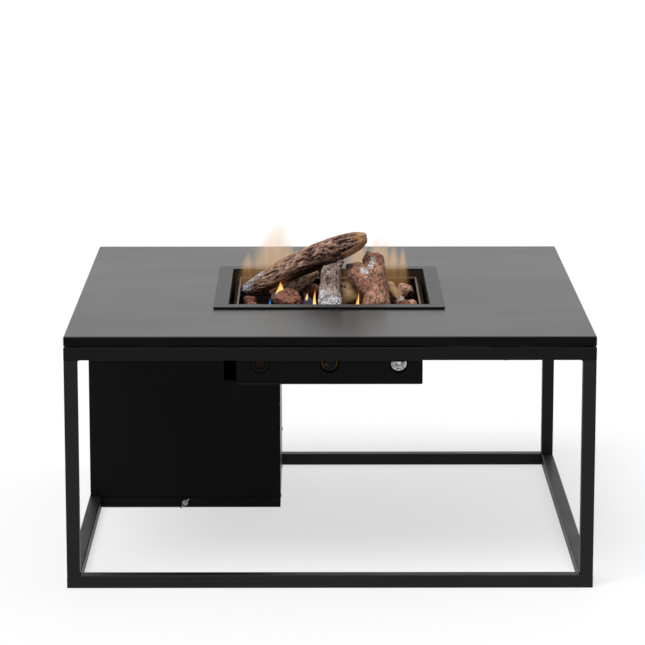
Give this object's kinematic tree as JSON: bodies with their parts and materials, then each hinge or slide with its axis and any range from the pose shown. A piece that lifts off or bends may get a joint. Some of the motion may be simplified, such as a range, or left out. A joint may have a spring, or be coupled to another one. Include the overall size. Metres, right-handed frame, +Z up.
{
  "type": "fire pit table",
  "caption": "Low square gas fire pit table: black tube frame, dark grey sheet top, square burner with ceramic logs, control box and an enclosed gas-bottle box with a flap door.",
  "frame": {"origin": "on the floor under the middle of the table", "axes": "+X to the right of someone facing the controls, +Y to the back, +Z up"},
  "size_m": [1, 1, 0.6056],
  "materials": {
    "frame_black": "fine matt powder coat",
    "top_grey": "matt fine-textured powder coat",
    "black_rubber": "matt",
    "black_steel": "blackened screws",
    "zinc_steel": "zinc plated",
    "burner_steel": "satin, heat tinted",
    "stainless": "heat tinted stainless",
    "brass": "turned",
    "white_ceramic": "unglazed",
    "bark_ceramic": "painted bark relief",
    "ash_ceramic": "painted bark relief with ash",
    "red_ceramic": "painted bark relief",
    "grey_ceramic": "painted bark relief",
    "tan_ceramic": "painted bark relief",
    "lava_stone": "porous",
    "box_black": "fine matt powder coat",
    "black_plastic": "matt",
    "red_plastic": "satin",
    "chrome": "polished",
    "cell_metal": "plain",
    "aluminium": "drawn tube",
    "silicone": "satin",
    "copper": "bare"
  },
  "bodies": {
    "root": {"leg_front_left": "frame_black", "leg_front_right": "frame_black", "leg_back_left": "frame_black", "leg_back_right": "frame_black", "top_rail_front": "frame_black", "top_rail_back": "frame_black", "top_rail_left": "frame_black", "top_rail_right": "frame_black", "bottom_rail_front": "frame_black", "bottom_rail_back": "frame_black", "bottom_rail_left": "frame_black", "bottom_rail_right": "frame_black", "table_top": "top_grey", "top_stiffeners": "top_grey", "top_spacers": "black_rubber", "top_screws": "black_steel", "top_nuts": "zinc_steel", "burner_pan": "burner_steel", "burner_gasket": "black_rubber", "inner_tray": "burner_steel", "burner_plate": "burner_steel", "burner_tube": "stainless", "mixer_tube": "stainless", "injector": "brass", "electrode": "white_ceramic", "thermocouple_probe": "stainless", "log_long": "bark_ceramic", "log_ash": "ash_ceramic", "log_forked": "red_ceramic", "log_grey": "grey_ceramic", "log_small": "tan_ceramic", "log_tan": "tan_ceramic", "lava_rocks": "lava_stone", "control_box": "box_black", "control_bracket": "zinc_steel", "gas_valve": "brass", "control_nuts": "zinc_steel", "igniter_body": "black_plastic", "battery_holder": "black_plastic", "battery_cell": "cell_metal", "gas_inlet": "brass", "gas_pipe": "aluminium", "ignition_lead": "silicone", "thermocouple_lead": "copper", "gas_tray": "box_black", "gas_left_panel": "box_black", "gas_back_panel": "box_black", "gas_right_panel": "box_black", "panel_screws": "black_steel", "hinge_rod": "zinc_steel", "hinge_brackets": "box_black"},
    "gas_door": {"gas_door": "box_black"},
    "wing_latch": {"wing_latch": "zinc_steel"},
    "spindle_collar": {"spindle_collar": "black_plastic"},
    "control_knob": {"valve_spindle": "brass", "control_knob": "black_plastic", "knob_trim": "brass"},
    "igniter_button": {"igniter_button": "red_plastic"},
    "battery_cap": {"battery_cap": "chrome"}
  },
  "joints": [
    {"name": "door_swing", "type": "hinge", "parent": "root", "child": "gas_door", "pos_m": [-0.3575, 0.11, 0.43], "axis": [-1, 0, 0], "range_deg": [0, 60]},
    {"name": "latch_turn", "type": "hinge", "parent": "gas_door", "child": "wing_latch", "pos_m": [-0.3, 0.1, 0.0125], "axis": [0, 1, 0], "range_deg": [0, 90]},
    {"name": "knob_push", "type": "slide", "parent": "root", "child": "spindle_collar", "axis": [0, 1, 0], "range_m": [0, 0.004], "stiffness_N_per_m": 1500, "springref_m": -0.003},
    {"name": "knob_turn", "type": "hinge", "parent": "spindle_collar", "child": "control_knob", "pos_m": [0, -0.29, 0.392], "axis": [0, -1, 0], "range_deg": [0, 180]},
    {"name": "igniter_press", "type": "slide", "parent": "root", "child": "igniter_button", "axis": [0, 1, 0], "range_m": [0, 0.005], "stiffness_N_per_m": 1500, "springref_m": -0.003},
    {"name": "battery_cap_turn", "type": "hinge", "parent": "root", "child": "battery_cap", "pos_m": [0.135, -0.284, 0.392], "axis": [0, -1, 0], "range_deg": [0, 90]}
  ]
}
